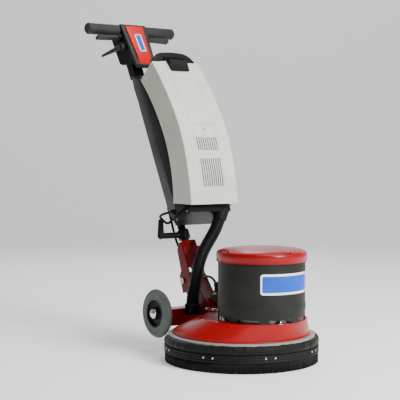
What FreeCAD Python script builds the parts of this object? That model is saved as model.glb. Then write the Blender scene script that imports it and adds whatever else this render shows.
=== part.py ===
"""Rotary floor machine: single-disc deck with an offset motor, two transport wheels,
a tilting handle with twin switch levers, and a suction unit carried on the pole.

Frame: millimetres, +X forward (from the handle to the motor), +Y left, +Z up.
The origin is on the floor under the centre of the disc.
"""
import FreeCAD
import Part
import os
from math import cos, sin, tan, radians, degrees, pi

V = FreeCAD.Vector
UP = V(0, 0, 1)
ALONG = V(1, 0, 0)
ACROSS = V(0, 1, 0)

# ---- deck, skirt and brush -------------------------------------------------------------
disc_r = 236.0            # outside of the rubber skirt band
bumper_r = disc_r - 12    # grey bumper ring
bumper_w = 17.0           # radial width of the bumper ring
bumper_z0 = 70.6
bumper_z1 = 84.0
deck_rim_top = 92.0       # top of the upright rim of the housing
deck_top_z = 138.0        # flat top that carries the motor
deck_top_x = 64.0         # centre of the flat top, forward of the disc centre
deck_top_r = 158.0
deck_wall = 5.0
boss_half = 82.0          # rear boss that carries the hose socket
boss_top = 121.0
boss_rear = disc_r - 28   # how far the boss reaches behind the disc centre
fabric_z0 = 53.0
band_z0 = 30.0
band_t = 5.0
band_ridges = 3
skirt_floor_gap = 0.5
rivet_pairs = 8
rivet_r = 3.0
brush_r = 210.0
brush_eye_r = 68.0
brush_block_z0 = 38.0
brush_block_t = 18.0
drive_plate_r = 60.0
drive_plate_t = 7.0

# ---- motor and gear train --------------------------------------------------------------
module_1, pinion_teeth, wheel_teeth = 1.5, 14, 40
module_2, step_teeth, output_teeth = 2.0, 15, 42
motor_r = 130.0
motor_wall = 3.0
cover_band = 1.6          # how far the band round the cover stands proud
lid_r = motor_r + 5
lid_z0 = 311.0
lid_rim_h = 31.0
lid_crown = 11.0
cover_tabs = 8
cover_tab_h = 12.0
cover_gap_half = 36.0     # half the width of a gap between two tabs
cover_gap_turn = -12.5    # degrees from straight ahead to the first gap
lid_screw_count = 4
frame_r = motor_r - 20
frame_top = 268.0
frame_plate = 7.0
stator_r_in = frame_r - 48
stator_z0, stator_z1 = 165.0, 245.0
air_gap = 1.0
shaft_r = 8.0
spindle_r = 12.0
bearing_wall = 9.0
bearing_h = 10.0
fan_r = motor_r - 38
fan_blades = 9
case_z0 = 92.0
case_wall = 5.0
gear_clear = 8.0
run_fit = 0.05            # radial clearance of a running fit

# ---- wheels and axle -------------------------------------------------------------------
axle_x = 5 - disc_r        # the axle stands just inside the skirt's rear edge
axle_z = 126.0
axle_r = 10.0
tyre_r = 76.7
tyre_w = 30.0
hub_r = 43.0
wheel_out_y = 170.0
bracket_half = 118.0
bracket_z0 = bumper_z1 + 1.0
bracket_front = boss_rear
bracket_len = 46.0
bracket_t = 4.0

# ---- handle: pivot, lean, pole ---------------------------------------------------------
pivot_x = -disc_r - 31
pivot_z = 217.0
lean = 27.76              # degrees that the pole leans back from upright at rest
pole_a = 32.0             # pole axis, forward of the pivot, square to the pole
pole_r = 13.0
pole_wall = 2.0
pole_h0 = 68.0
pole_h1 = 775.0
pin_r = 6.0
fork_y = 22.0             # inside of the fork's cheeks
fork_t = 4.0
fork_reach = 130.0        # from the pivot forward to the front of the cheeks
foot_front = -80.0        # front edge of the fork's foot
side_gap = 2.0            # between a fork cheek and the channel cheek beside it
channel_t = 3.0
channel_front = 62.0
channel_h1 = 117.0
channel_h0 = 26.0
channel_chamfer = 17.0    # upper rear corner of the channel

# ---- head and grips --------------------------------------------------------------------
bar_a = 67.0
bar_h = pole_h1 + 134
bar_half = 176.0
bar_r = 13.0
grip_r = 19.5
head_half = 51.0          # half width of the surround at its top
grip_len = bar_half - head_half - 2
head_foot_half = 40.0     # and at its foot
head_rear = 9.0
head_front = 82.0
head_front_foot = 93.0    # the front face comes forward towards its foot
head_h0 = pole_h1 - 31
head_h1 = pole_h1 + 150
head_wall = 3.0
frame_lip = 15.0
frame_t = 9.0
neck_half = 20.0
lever_len = 92.0
lever_gap = 3.0
lever_t = 9.0
lever_droop = 3.0         # degrees below level when let go
lever_pin_r = 2.5
button_r = 9.0
button_travel = 4.0
rod_y = 52.0
rod_pin_r = 4.0
rod_pivot_a = 66.0
rod_pivot_h = pole_h1 + 68

# ---- suction unit ----------------------------------------------------------------------
vac_half = 92.0
vac_wall = 3.0
vac_back_half = 58.0
seam_gap = 0.6
tray_half = 80.0
tray_h0 = 151.0
tray_front = 205.0
tray_rear = 103.0
slot_count = 10
slot_field = 41.0         # half width of each grille
hose_r = 20.0
hose_socket_x, hose_socket_y = 58 - disc_r, -58.0
cuff_wall = 2.5
cuff_fit = 0.3
cuff_grip = 6.0           # how far the upper cuff reaches down over the hose
cable_r = 4.0
lead_r = 4.2
hook_r = 11.0
hook_h = 147.0
hook_y = -90.0
hook_rise = 54.0

motor_x = module_1 * (pinion_teeth + wheel_teeth) / 2 + module_2 * (step_teeth + output_teeth) / 2
idler_x = module_2 * (step_teeth + output_teeth) / 2


# ---- small makers ----------------------------------------------------------------------
def block(x0, x1, y0, y1, z0, z1):
    return Part.makeBox(x1 - x0, y1 - y0, z1 - z0, V(x0, y0, z0))


def rod(r, h, at, axis=UP):
    return Part.makeCylinder(r, h, at, axis)


def tube(r_out, r_in, h, at, axis=UP):
    return rod(r_out, h, at, axis).cut(rod(r_in, h, at, axis))


def side_plate(outline, y0, y1):
    """Extrude an X-Z outline across Y. A three-number entry is a corner reached by an arc
    through the point before it, which is marked with "arc"."""
    edges = []
    here = outline[0]
    via = None
    for point in list(outline[1:]) + [outline[0]]:
        if len(point) == 3:
            via = V(point[0], y0, point[1])
            continue
        a, b = V(here[0], y0, here[1]), V(point[0], y0, point[1])
        edges.append(Part.Arc(a, via, b).toShape() if via else Part.makeLine(a, b))
        here, via = point, None
    return Part.Face(Part.Wire(edges)).extrude(V(0, y1 - y0, 0))


def front_plate(outline, x0, x1):
    """Extrude a Y-Z outline, written as for side_plate, along X."""
    plate = side_plate(outline, x0, x1)
    plate.rotate(V(0, 0, 0), UP, -90)
    return plate.mirror(V(0, 0, 0), ACROSS)


def flat_plate(outline, z0, z1):
    points = [V(x, y, z0) for x, y in outline]
    return Part.Face(Part.makePolygon(points + [points[0]])).extrude(V(0, 0, z1 - z0))


def turned(outline, x=0.0, y=0.0):
    """Revolve an r-z outline about the upright axis at x, y."""
    points = [V(x + r, y, z) for r, z in outline]
    face = Part.Face(Part.makePolygon(points + [points[0]]))
    return face.revolve(V(x, y, 0), UP, 360)


def fuse(shapes):
    whole = shapes[0]
    for shape in shapes[1:]:
        whole = whole.fuse(shape)
    return whole.removeSplitter()


def gear(module, teeth, x, z0, z1, bore, tooth_at):
    """Spur gear with straight-sided teeth; one tooth points along tooth_at degrees."""
    pitch_r = module * teeth / 2
    step = 2 * pi / teeth
    outline = []
    for i in range(teeth):
        mid = radians(tooth_at) + i * step
        for r, half in ((pitch_r - 1.25 * module, -0.31), (pitch_r + 0.9 * module, -0.12),
                        (pitch_r + 0.9 * module, 0.12), (pitch_r - 1.25 * module, 0.31)):
            outline.append((x + r * cos(mid + half * step), r * sin(mid + half * step)))
    solid = flat_plate(outline, z0, z1)
    if bore:
        solid = solid.cut(rod(bore, z1 - z0, V(x, 0, z0)))
    return solid


def leaned(shape):
    """Put a piece built upright about the pivot into its leaning place."""
    placed = shape.copy()
    placed.rotate(V(0, 0, 0), ACROSS, -lean)
    placed.translate(V(pivot_x, 0, pivot_z))
    return placed


def leaned_point(a, y, h):
    c, s = cos(radians(lean)), sin(radians(lean))
    return V(pivot_x + a * c - h * s, y, pivot_z + a * s + h * c)


def route_tube(name, points, r):
    """A tube along straight runs joined by arcs as large as their runs allow."""
    points = [V(*p) for p in points]
    edges = []
    start = points[0]
    for i in range(1, len(points) - 1):
        before, here, after = points[i - 1], points[i], points[i + 1]
        u = (before - here).normalize()
        w = (after - here).normalize()
        half_turn = (pi - u.getAngle(w)) / 2
        setback = 0.45 * min((before - here).Length, (after - here).Length)
        radius = setback / tan(half_turn)
        print(name, "turn", i, "radius", round(radius, 1), "=", round(radius / (2 * r), 1), "diameters")
        a, b = here + u * setback, here + w * setback
        toward = (u + w).normalize()
        centre = here + toward * (radius / cos(half_turn))
        middle = centre - toward * radius
        edges.append(Part.LineSegment(start, a).toShape())
        edges.append(Part.Arc(a, middle, b).toShape())
        start = b
    edges.append(Part.LineSegment(start, points[-1]).toShape())
    path = Part.Wire(edges)
    ring = Part.Wire([Part.makeCircle(r, points[0], points[1] - points[0])])
    solid = path.makePipeShell([ring], True, True)
    print(name, "length", round(path.Length, 1), "volume ratio",
          round(solid.Volume / (pi * r * r * path.Length), 4))
    return solid


# ---- deck ------------------------------------------------------------------------------
def dome(inset):
    """The housing's outer form, drawn in by a wall."""
    low = Part.makeCircle(disc_r - 29.0 - inset, V(0, 0, deck_rim_top - inset))
    high = Part.makeCircle(deck_top_r - inset, V(deck_top_x, 0, deck_top_z - inset))
    cap = Part.makeLoft([Part.Wire([low]), Part.Wire([high])], True, True)
    skirt_height = deck_rim_top - inset - bumper_z0
    return cap.fuse(rod(disc_r - 29.0 - inset, skirt_height, V(0, 0, bumper_z0)))


def deck_housing():
    boss = block(-boss_rear, 0, -boss_half, boss_half, bumper_z1, boss_top)
    hollow = block(-boss_rear + deck_wall, 0, -boss_half + deck_wall, boss_half - deck_wall,
                   bumper_z0, boss_top - deck_wall)
    whole = dome(0).fuse(boss).cut(dome(deck_wall)).cut(hollow)
    motor_eye = rod(shaft_r + bearing_wall + 1, 20, V(motor_x, 0, deck_top_z - 10))
    duct = rod(hose_r - 3, 40, V(hose_socket_x, hose_socket_y, boss_top - 20))
    return whole.cut(motor_eye).cut(duct).removeSplitter()


def bumper_ring():
    ring = tube(bumper_r, bumper_r - bumper_w, bumper_z1 - bumper_z0, V(0, 0, bumper_z0))
    outer = [e for e in ring.Edges if abs(e.BoundBox.XMax - bumper_r) < 0.1 and e.Length > 100]
    return ring.makeFillet(min(5.0, bumper_w / 3), outer)


def skirt_fabric():
    top, low, out = bumper_z0, fabric_z0, disc_r - 4
    mid = (top + low) / 2
    return turned([(out - 14, low), (out - 1, low), (out + 2.5, low + 4), (out + 3.0, mid),
                   (out + 1.5, top - 4), (out - 6, top), (out - 14, top)])


def skirt_band():
    pitch = (fabric_z0 - band_z0) / band_ridges
    outline = [(disc_r - band_t, band_z0)]
    for i in range(band_ridges):
        z = band_z0 + i * pitch
        outline += [(disc_r - 1, z), (disc_r, z + 0.3 * pitch), (disc_r, z + 0.7 * pitch),
                    (disc_r - 1, z + pitch)]
    outline.append((disc_r - band_t, fabric_z0))
    return turned(outline)


def skirt_bristles():
    return turned([(disc_r - 9, skirt_floor_gap), (disc_r - 2, skirt_floor_gap), (disc_r - 3, band_z0),
                   (disc_r - 9, band_z0)])


def skirt_rivets():
    z = band_z0 + 0.62 * (fabric_z0 - band_z0)
    rivets = []
    for i in range(rivet_pairs):
        for offset in (-3.6, 3.6):
            angle = radians(-62 + i * 360 / rivet_pairs + offset)
            axis = V(cos(angle), sin(angle), 0)
            rivets.append(rod(rivet_r, 1.6, axis * (disc_r + 0.1) + V(0, 0, z), axis))
    return Part.makeCompound(rivets)


def axle_bracket():
    rear = bracket_front + bracket_len
    outer = block(-rear, -bracket_front, -bracket_half, bracket_half, bracket_z0, deck_top_z)
    inner = block(-rear + bracket_t, -bracket_front - bracket_t, -bracket_half + bracket_t,
                  bracket_half - bracket_t, bracket_z0 - 1, deck_top_z - bracket_t)
    bore = rod(axle_r, 2 * bracket_half + 2, V(axle_x, -bracket_half - 1, axle_z), ACROSS)
    return outer.cut(inner).cut(bore)


def wheel_axle():
    """Plain axle with a spacer collar between the bracket and each wheel."""
    collar = wheel_out_y - tyre_w - bracket_half - 0.5
    parts = [rod(axle_r, 2 * (wheel_out_y - 6), V(axle_x, -wheel_out_y + 6, axle_z), ACROSS)]
    for y in (-bracket_half - collar, bracket_half):
        parts.append(rod(axle_r + 5, collar, V(axle_x, y, axle_z), ACROSS))
    return fuse(parts)


def hose_socket():
    top = boss_top + 34
    at = V(hose_socket_x, hose_socket_y, boss_top)
    body = rod(hose_r + cuff_wall, top - boss_top, at)
    seat = rod(hose_r + cuff_fit, top - boss_top, at + V(0, 0, 8))
    return body.cut(seat).cut(rod(hose_r - 3, 20, at))


# ---- tilt fork and handle channel ------------------------------------------------------
def fork_outline():
    front = pivot_x + fork_reach
    foot = deck_top_z + 4
    return [(pivot_x - 18, pivot_z), (pivot_x - 13, pivot_z + 13, "arc"), (pivot_x, pivot_z + 18),
            (pivot_x + 27, pivot_z + 30), (pivot_x + 39, pivot_z + 32), (pivot_x + 54, pivot_z + 17),
            (pivot_x + 84, pivot_z - 21), (pivot_x + 114, pivot_z - 48), (front, pivot_z - 52),
            (front, foot), (pivot_x + 46, foot), (pivot_x - 12, pivot_z - 16)]


def tilt_fork():
    front = pivot_x + fork_reach
    bore = rod(pin_r + run_fit, 200, V(pivot_x, -100, pivot_z), ACROSS)
    cheeks = [side_plate(fork_outline(), y, y + fork_t) for y in (-fork_y - fork_t, fork_y)]
    web = block(pivot_x + 96, pivot_x + 100, -fork_y, fork_y, deck_top_z + 4, pivot_z - 48)
    side = fork_y + fork_t
    z0, z1 = deck_top_z, deck_top_z + fork_t
    floor = block(-bracket_front - bracket_len, foot_front, -side, side, z0, z1)
    flange = block(front - 8, foot_front, -side - 20, side + 20, z0, z1)
    return fuse(cheeks + [web, floor, flange]).cut(bore)


def fork_bolts():
    side = fork_y + fork_t + 10
    heads = []
    for x in (foot_front - 14, foot_front - 48):
        for y in (-side, side):
            heads.append(rod(6.5, 5, V(x, y, deck_top_z + fork_t)))
    return Part.makeCompound(heads)


def channel_y():
    return fork_y + fork_t + side_gap


def handle_channel():
    """Bent sheet: cheeks outside the fork, chamfered corners and a front web."""
    y_in, t = channel_y(), channel_t
    y_out = y_in + t
    front = channel_front
    section = [(-30, -y_out), (45, -y_out), (front, -16), (front, 16), (45, y_out), (-30, y_out),
               (-30, y_in), (45 - 1, y_in), (front - t, 15), (front - t, -15), (45 - 1, -y_in),
               (-30, -y_in)]
    sheet = flat_plate(section, -60, channel_h1)
    upper = side_plate([(30, channel_h1), (front, channel_h1), (front, channel_h0), (3, channel_h0),
                        (15, channel_h1 - channel_chamfer)], -y_out, y_out)
    leg = side_plate([(3, channel_h0 + 6), (45, channel_h0 + 6), (45, 14), (38, -14), (10, -43),
                      (-20, -35), (-14, 0), (-11, 21)], -y_out, y_out)
    body = sheet.common(upper.fuse(leg))
    body = body.cut(rod(pin_r, 200, V(0, -100, 0), ACROSS))
    spacer = block(pole_a, front - t, -y_in, y_in, 74, 96)
    spacer = spacer.cut(rod(pole_r, 200, V(pole_a, 0, 0)))
    return leaned(fuse([body, spacer]))


def pivot_pin():
    y_out = channel_y() + channel_t
    pin = rod(pin_r, 2 * y_out, V(0, -y_out, 0), ACROSS)
    heads = [rod(10, 5, V(0, -y_out - 5, 0), ACROSS), rod(10, 5, V(0, y_out, 0), ACROSS)]
    return leaned(fuse([pin] + heads))


def channel_bolts():
    front = channel_front
    bolts = [rod(5.5, 4, V(front, 0, h), ALONG) for h in (channel_h1 - 14, channel_h1 - 58)]
    return leaned(Part.makeCompound(bolts))


def pole_tube():
    outer = rod(pole_r, pole_h1 - pole_h0, V(pole_a, 0, pole_h0))
    return leaned(outer.cut(rod(pole_r - pole_wall, pole_h1 - pole_h0, V(pole_a, 0, pole_h0))))


def cord_hook():
    """Clamp round the pole, an arm across to the machine's right and an upright post."""
    clamp = rod(pole_r + 7, 28, V(pole_a, 0, hook_h - 14)).cut(rod(pole_r, 28, V(pole_a, 0, hook_h - 14)))
    arm = rod(hook_r - 1, -hook_y - pole_r - 4, V(pole_a, hook_y, hook_h), ACROSS)
    body = leaned(fuse([clamp, arm]))
    root = leaned_point(pole_a, hook_y, hook_h)
    post = Part.makeCone(hook_r, hook_r - 3, hook_rise, root).fuse(Part.makeSphere(hook_r, root))
    return body.fuse(post).removeSplitter()


# ---- head, grips and levers ------------------------------------------------------------
def head_taper(narrower, x0, x1):
    """Front view of the head, drawn in by an amount on each side."""
    top, foot = head_half - narrower, head_foot_half - narrower
    return front_plate([(-foot, head_h0), (-top, head_h1 + 1), (top, head_h1 + 1), (foot, head_h0)], x0, x1)


def lever_pin():
    """Where a switch lever's pin stands: its distance from the middle and its height."""
    return head_half + 8, bar_h - grip_r - lever_gap - lever_t / 2 - 3


def head_housing():
    outline = [(head_rear, head_h1 - 8), (head_rear + 8, head_h1), (head_front, head_h1),
               (front_face(head_h0 + 20), head_h0 + 20), (head_rear + 9, head_h0 + 56),
               (head_rear, head_h0 + 67)]
    body = side_plate(outline, -head_half, head_half)
    body = body.common(head_taper(4, head_rear - 1, head_front_foot + 1))
    neck = block(pole_a - 16, pole_a + 16, -neck_half, neck_half, head_h0 - 2, head_h0 + 67)
    half = head_foot_half - 4
    inner = block(head_rear + 4, head_front - 1, -half, half, head_h0 + 58, head_h1 - 5)
    bar = rod(bar_r, 2 * head_half, V(bar_a, -head_half, bar_h), ACROSS)
    pole = rod(pole_r, pole_h1 - pole_h0, V(pole_a, 0, pole_h0))
    press = rod(button_r + 0.4, 30, V(head_rear - 5, 0, head_h1 - 40), ALONG)
    pin_hole = rod(rod_pin_r + run_fit, 30, V(rod_pivot_a, -rod_y - 8, rod_pivot_h), ACROSS)
    body = body.fuse(neck).cut(inner).cut(bar).cut(pole).cut(press).cut(pin_hole)
    out, h = lever_pin()
    for side in (-1, 1):
        near, far = sorted((side * half, side * (out + 5)))
        for x in (bar_a - 14, bar_a + 10.5):
            body = body.fuse(block(x, x + 3.5, near, far, h - 6, h + 6))
        body = body.fuse(rod(lever_pin_r, 28, V(bar_a - 14, side * out, h), ALONG))
    return leaned(body.removeSplitter())


def front_face(h, proud=0.0):
    """How far forward the head's front face stands at a height."""
    share = (head_h1 - h) / (head_h1 - head_h0)
    return head_front + share * (head_front_foot - head_front) + proud


def window_taper(inset, x0, x1):
    """The surround's opening, which the cover fills, drawn in by an inset."""
    top, foot = head_half - frame_lip - inset, head_foot_half - frame_lip - inset
    low, high = head_h0 + 12 + inset, head_h1 - 9 - inset
    return front_plate([(-foot, low), (-top, high), (top, high), (foot, low)], x0, x1)


def head_frame():
    """Bevelled surround that holds the cover."""
    h1, h2 = head_h1 - 5, head_h0 + 8
    outer = side_plate([(head_front, head_h1 + 1), (front_face(h1, frame_t), h1), (front_face(h2, frame_t), h2),
                        (head_front_foot, head_h0)], -head_half, head_half)
    outer = outer.common(head_taper(0, head_front - 1, head_front_foot + frame_t + 1))
    return leaned(outer.cut(window_taper(0, head_front - 1, head_front_foot + frame_t + 1)))


def head_cover():
    proud = frame_t + 5
    h1, h2, h3 = head_h1 - 13, head_h0 + 46, head_h0 + 12
    outline = [(front_face(head_h1), head_h1), (front_face(h1, proud - 2), h1), (front_face(h2, proud), h2),
               (front_face(h3, 7), h3), (front_face(h3), h3)]
    body = side_plate(outline, -head_half, head_half)
    return leaned(body.common(window_taper(0.2, head_front, head_front_foot + 20)))


def handle_grips():
    """Steel bar right through the head, with a moulded grip on each end."""
    bar = rod(bar_r, 2 * bar_half, V(bar_a, -bar_half, bar_h), ACROSS)
    grips = []
    for side in (-1, 1):
        start = V(bar_a, side * (bar_half - grip_len), bar_h)
        sleeve = rod(grip_r, grip_len - 6, start, V(0, side, 0))
        cap = Part.makeCone(grip_r, grip_r - 5, 6, V(bar_a, side * (bar_half - 6), bar_h), V(0, side, 0))
        grips += [sleeve, cap]
    return leaned(fuse([bar] + grips))


def switch_lever(side):
    """Blade under one grip, hung from a pin beside the head; it droops when let go."""
    out, h = lever_pin()
    root = out - 6
    blade = flat_plate([(bar_a - 10, root), (bar_a + 10, root), (bar_a + 9, root + lever_len),
                        (bar_a - 9, root + lever_len)], h - lever_t / 2, h + lever_t / 2)
    blade.rotate(V(bar_a, out, h), ALONG, -lever_droop)
    lever = blade.fuse(rod(6, 20, V(bar_a - 10, out, h), ALONG)).removeSplitter()
    lever = lever.cut(rod(lever_pin_r + run_fit, 30, V(bar_a - 15, out, h), ALONG))
    if side < 0:
        lever = lever.mirror(V(0, 0, 0), ACROSS)
    return leaned(lever)


def release_lever():
    """Tapered rod on the head's right side, pointing back to the operator."""
    at = V(rod_pivot_a, -rod_y - 6, rod_pivot_h)
    way = V(-107, -7, 30)
    boss = rod(12, 12, at - V(0, 3, 0), ACROSS)
    pin = rod(rod_pin_r, 19, at, ACROSS)
    arm = Part.makeCone(9.5, 4.5, 112, at, way)
    tip = Part.makeSphere(4.7, at + way.normalize() * 112)
    return leaned(fuse([boss, pin, arm, tip]))


def safety_button():
    return leaned(rod(button_r, 16, V(head_rear - 5, 0, head_h1 - 40), ALONG))


# ---- suction unit ----------------------------------------------------------------------
def cover_bottom(a):
    """Height of the covers' bottom edge, which is level while the machine is parked."""
    return 162.0 + (236.0 - a) * tan(radians(lean))


def cover_outline(upper, inset):
    """Side view of a front cover between its front arc and its rear edge. The hollow, which
    has an inset, runs out past the open rear edge and past the seam."""
    i = inset
    back = 6 if inset else 0
    past = 1 if inset else 0
    if upper:
        return [(292 - i, 415 - past), (280.5 - i, 540, "arc"), (252 - i, 669 - i), (166 - back, 647 - i),
                (192 - back, 540, "arc"), (202 - back, 426 - past)]
    return [(236 - i, cover_bottom(236) + i), (275 - i, 285, "arc"), (292 - i, 415 + past),
            (202 - back, 426 + past), (187 - back, 308, "arc"), (149 - back, cover_bottom(149) + i)]


def open_cover(upper):
    w, t = vac_half, vac_wall
    outer = side_plate(cover_outline(upper, 0), -w, w)
    edges = [e for e in outer.Edges if e.Length > 100 and abs(abs(e.CenterOfMass.y) - w) < 0.1
             and e.CenterOfMass.x > 225]
    outer = outer.makeFillet(4.0, edges)
    return outer.cut(side_plate(cover_outline(upper, t), -w + t, w - t))


def vac_upper_cover():
    shell = open_cover(True)
    shell.translate(V(0, 0, seam_gap))
    return leaned(shell)


def grille_slots(h0, h1):
    pitch = 2 * slot_field / slot_count
    slots = []
    for i in range(slot_count):
        y = -slot_field + (i + 0.5) * pitch
        slots.append(block(200, 300, y - 1.9, y + 1.9, h0, h1))
    return Part.makeCompound(slots)


def vac_lower_cover():
    shell = open_cover(False)
    shell = shell.cut(grille_slots(328, 372)).cut(grille_slots(214, 302))
    return leaned(shell.cut(rod(5, 60, V(260, 0, 399), ALONG)))


def shell_outline():
    g = seam_gap
    return [(166 - g, 647), (95, 712), (82, 665), (86, 618), (77.5, 444), (70, 213), (tray_rear, tray_h0),
            (tray_front, tray_h0), (tray_front, 172), (149 - g, cover_bottom(149)), (187 - g, 308, "arc"),
            (202 - g, 426), (192 - g, 540, "arc")]


def rear_form():
    """Rear casing: full width at the covers, tapered towards the pole."""
    w = vac_half - 1
    outer = side_plate(shell_outline(), -w, w)
    plan = [(60, -vac_back_half), (150, -w), (310, -w), (310, w), (150, w), (60, vac_back_half)]
    return outer.common(flat_plate(plan, 100, 800))


def rear_hollow():
    outline = [(160, 641), (99, 697), (88, 660), (91, 618), (83, 444), (77, 216), (100, 180),
               (165, 180), (193, 308, "arc"), (215, 426), (200, 540, "arc")]
    body = side_plate(outline, -vac_half + 6, vac_half - 6)
    plan = [(60, -vac_back_half + 6), (150, -vac_half + 6), (310, -vac_half + 6),
            (310, vac_half - 6), (150, vac_half - 6), (60, vac_back_half - 6)]
    return body.common(flat_plate(plan, 100, 800))


def rear_split(upper):
    """Half-space above or below the casing's own seam."""
    seam = 436
    if upper:
        return block(0, 400, -150, 150, seam + seam_gap, 900)
    return block(0, 400, -150, 150, 100, seam)


def vac_shell_upper():
    body = rear_form().cut(rear_hollow()).common(rear_split(True))
    tongue = block(140, 249, -24, 24, 630, 638)
    return leaned(fuse([body, tongue]))


def vac_shell_lower():
    body = rear_form().cut(rear_hollow()).common(rear_split(False))
    body = body.cut(block(0, 400, -200, -tray_half, 100, 172)).cut(block(0, 400, tray_half, 200, 100, 172))
    return leaned(body.removeSplitter())


def vac_brackets():
    """Two clamps that hold the suction unit to the pole."""
    clamps = []
    for h, reach in ((262, 71), (588, 84)):
        collar = rod(pole_r + 7, 30, V(pole_a, 0, h)).cut(rod(pole_r, 30, V(pole_a, 0, h)))
        arm = block(pole_a + pole_r + 2, reach, -22, 22, h + 4, h + 26)
        clamps.append(collar.fuse(arm).removeSplitter())
    clamp_pair = Part.makeCompound(clamps)
    return leaned(clamp_pair)


def carry_handle():
    """Wide bail across the upper cover, just behind the latch."""
    outline = [(-86, 655), (-76, 688, "arc"), (-34, 709.5), (0, 711.5, "arc"), (34, 709.5),
               (76, 688, "arc"), (86, 655), (64, 655), (56, 677, "arc"), (26, 690),
               (0, 691.5, "arc"), (-26, 690), (-56, 677, "arc"), (-64, 655)]
    under = side_plate(cover_outline(True, 0), -vac_half, vac_half)
    under.translate(V(0, 0, seam_gap))
    return leaned(front_plate(outline, 224, 248).cut(under))


def vac_latch():
    """Over-centre catch on the upper cover, turning on a barrel at its lower edge."""
    barrel_a, barrel_h, half = 266.2, 631.5, 34
    outline = [(256, 633), (barrel_a + 3, barrel_h), (272, 660), (266, 673), (250.5, 673), (250.5, 662)]
    under = side_plate(cover_outline(True, 0), -vac_half, vac_half)
    under.translate(V(0.2, 0, seam_gap + 0.2))
    plate = side_plate(outline, -half, half).fuse(rod(3, 2 * half, V(barrel_a, -half, barrel_h), ACROSS))
    return leaned(plate.cut(under))


def vac_motor():
    can = rod(50, 84, V(152, 0, 226))
    return leaned(fuse([can, rod(58, 24, V(152, 0, 310))]))


def filter_bag():
    outline = [(110, 470), (190, 470), (180, 560, "arc"), (152, 630), (112, 630)]
    return leaned(side_plate(outline, -60, 60))


def hose_cuff():
    """Short upper cuff that leaves the tray in line with the hose."""
    end = V(*hose_route[0])
    up = (end - V(*hose_route[1])).normalize()
    low = end - up * cuff_grip
    body = rod(hose_r + cuff_wall, 60, low, up)
    seat = rod(hose_r + cuff_fit, cuff_grip, low, up)
    below = leaned(block(0, 400, -200, 200, 0, tray_h0))
    return body.cut(seat).cut(rod(hose_r - 3, 80, low, up)).common(below)


# ---- cords: points chosen by hand ------------------------------------------------------
drawn_disc_r, drawn_motor_r = 236.0, 130.0     # the sizes for which the points are written


def placed(route, share_at_motor):
    """The route moved with the rear of the deck, and its far end with the motor."""
    rear, front = drawn_disc_r - disc_r, drawn_motor_r - motor_r
    last = len(route) - 1
    moved = []
    for i, (x, y, z) in enumerate(route):
        share = share_at_motor * i / last
        moved.append((x + rear * (1 - share) + front * share, y, z))
    return moved


hose_route = placed([(-168, 43, 424), (-169, 34, 400), (-171, 22, 376), (-174, 3, 348), (-176, -15, 320),
              (-176, -30, 289), (-173, -41, 255), (-171, -50, 217), (-178, -58, 172), (-178, -58, 130)], 0)
cable_route = placed([(-371, -19, 449), (-354, -19, 414), (-337, -21, 378), (-321, -21, 344),
               (-303, -17, 312), (-286, -8, 284), (-266, 0, 261), (-238, 3, 245), (-206, -2, 238),
               (-173, -12, 239), (-141, -26, 243), (-110, -37, 245), (-82, -45, 241), (-63, -48, 229)], 1)
lead_route = placed([(-224, -82, 444), (-243, -91, 443), (-263, -96, 439), (-282, -98, 434), (-299, -96, 429),
              (-312, -90, 424), (-319, -79, 416), (-315, -71, 407), (-303, -68, 402), (-289, -68, 405),
              (-278, -66, 415), (-270, -61, 427)], 0)


def suction_hose():
    return route_tube("suction_hose", hose_route, hose_r)


def motor_cable():
    return route_tube("motor_cable", cable_route, cable_r)


def vacuum_lead():
    return route_tube("vacuum_lead", lead_route, lead_r)


# ---- motor -----------------------------------------------------------------------------
def motor_cover():
    """Plain sleeve with a slightly proud band and short tabs round the foot."""
    z0, z1 = deck_top_z, lid_z0 + 8
    r, t = motor_r, motor_wall
    sleeve = turned([(r - t, z0), (r, z0), (r, z0 + 30), (r + cover_band, z0 + 33),
                     (r + cover_band, z0 + 50), (r, z0 + 53), (r, z1), (r - t, z1)], motor_x)
    for i in range(cover_tabs):
        gap = block(r - 10, r + 10, -cover_gap_half, cover_gap_half, z0 - 1, z0 + cover_tab_h)
        gap.rotate(V(0, 0, 0), UP, cover_gap_turn + i * 360 / cover_tabs)
        gap.translate(V(motor_x, 0, 0))
        sleeve = sleeve.cut(gap)
    return sleeve.removeSplitter()


def motor_lid():
    r, z0, z1, t = lid_r, lid_z0, lid_z0 + lid_rim_h, motor_wall
    outer = turned([(0, z0), (r, z0), (r, z1 - 9), (r - 2.5, z1 - 3.5), (r - 9, z1),
                    (r * 0.6, z1 + lid_crown * 0.75), (0, z1 + lid_crown)], motor_x)
    inner = turned([(0, z0 - 1), (r - t, z0 - 1), (r - t, z1 - 9), (r - 9, z1 - t),
                    (r * 0.6, z1 + lid_crown * 0.75 - t), (0, z1 + lid_crown - t)], motor_x)
    lid = outer.cut(inner)
    for x, y in screw_places():
        lid = lid.cut(rod(8, 20, V(x, y, z1 - 1)))
        lid = lid.fuse(rod(9.5, 3, V(x, y, z1 - 4))).cut(rod(3, 30, V(x, y, z1 - 10)))
    return lid.removeSplitter()


def screw_places():
    r = lid_r - 16
    return [(motor_x + r * cos(k * pi / 2), r * sin(k * pi / 2)) for k in range(lid_screw_count)]


def lid_screws():
    z = lid_z0 + lid_rim_h - 1
    return Part.makeCompound([rod(5, 3.5, V(x, y, z)) for x, y in screw_places()])


def motor_frame():
    z0, z1, r = deck_top_z, frame_top, frame_r
    seat = shaft_r + bearing_wall
    shell = tube(r, r - 4, z1 - z0, V(motor_x, 0, z0))
    plates = [tube(r, seat, frame_plate + 3, V(motor_x, 0, z0)),
              tube(r, seat, frame_plate + 3, V(motor_x, 0, z1 - frame_plate - 3))]
    return fuse([shell] + plates)


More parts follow.
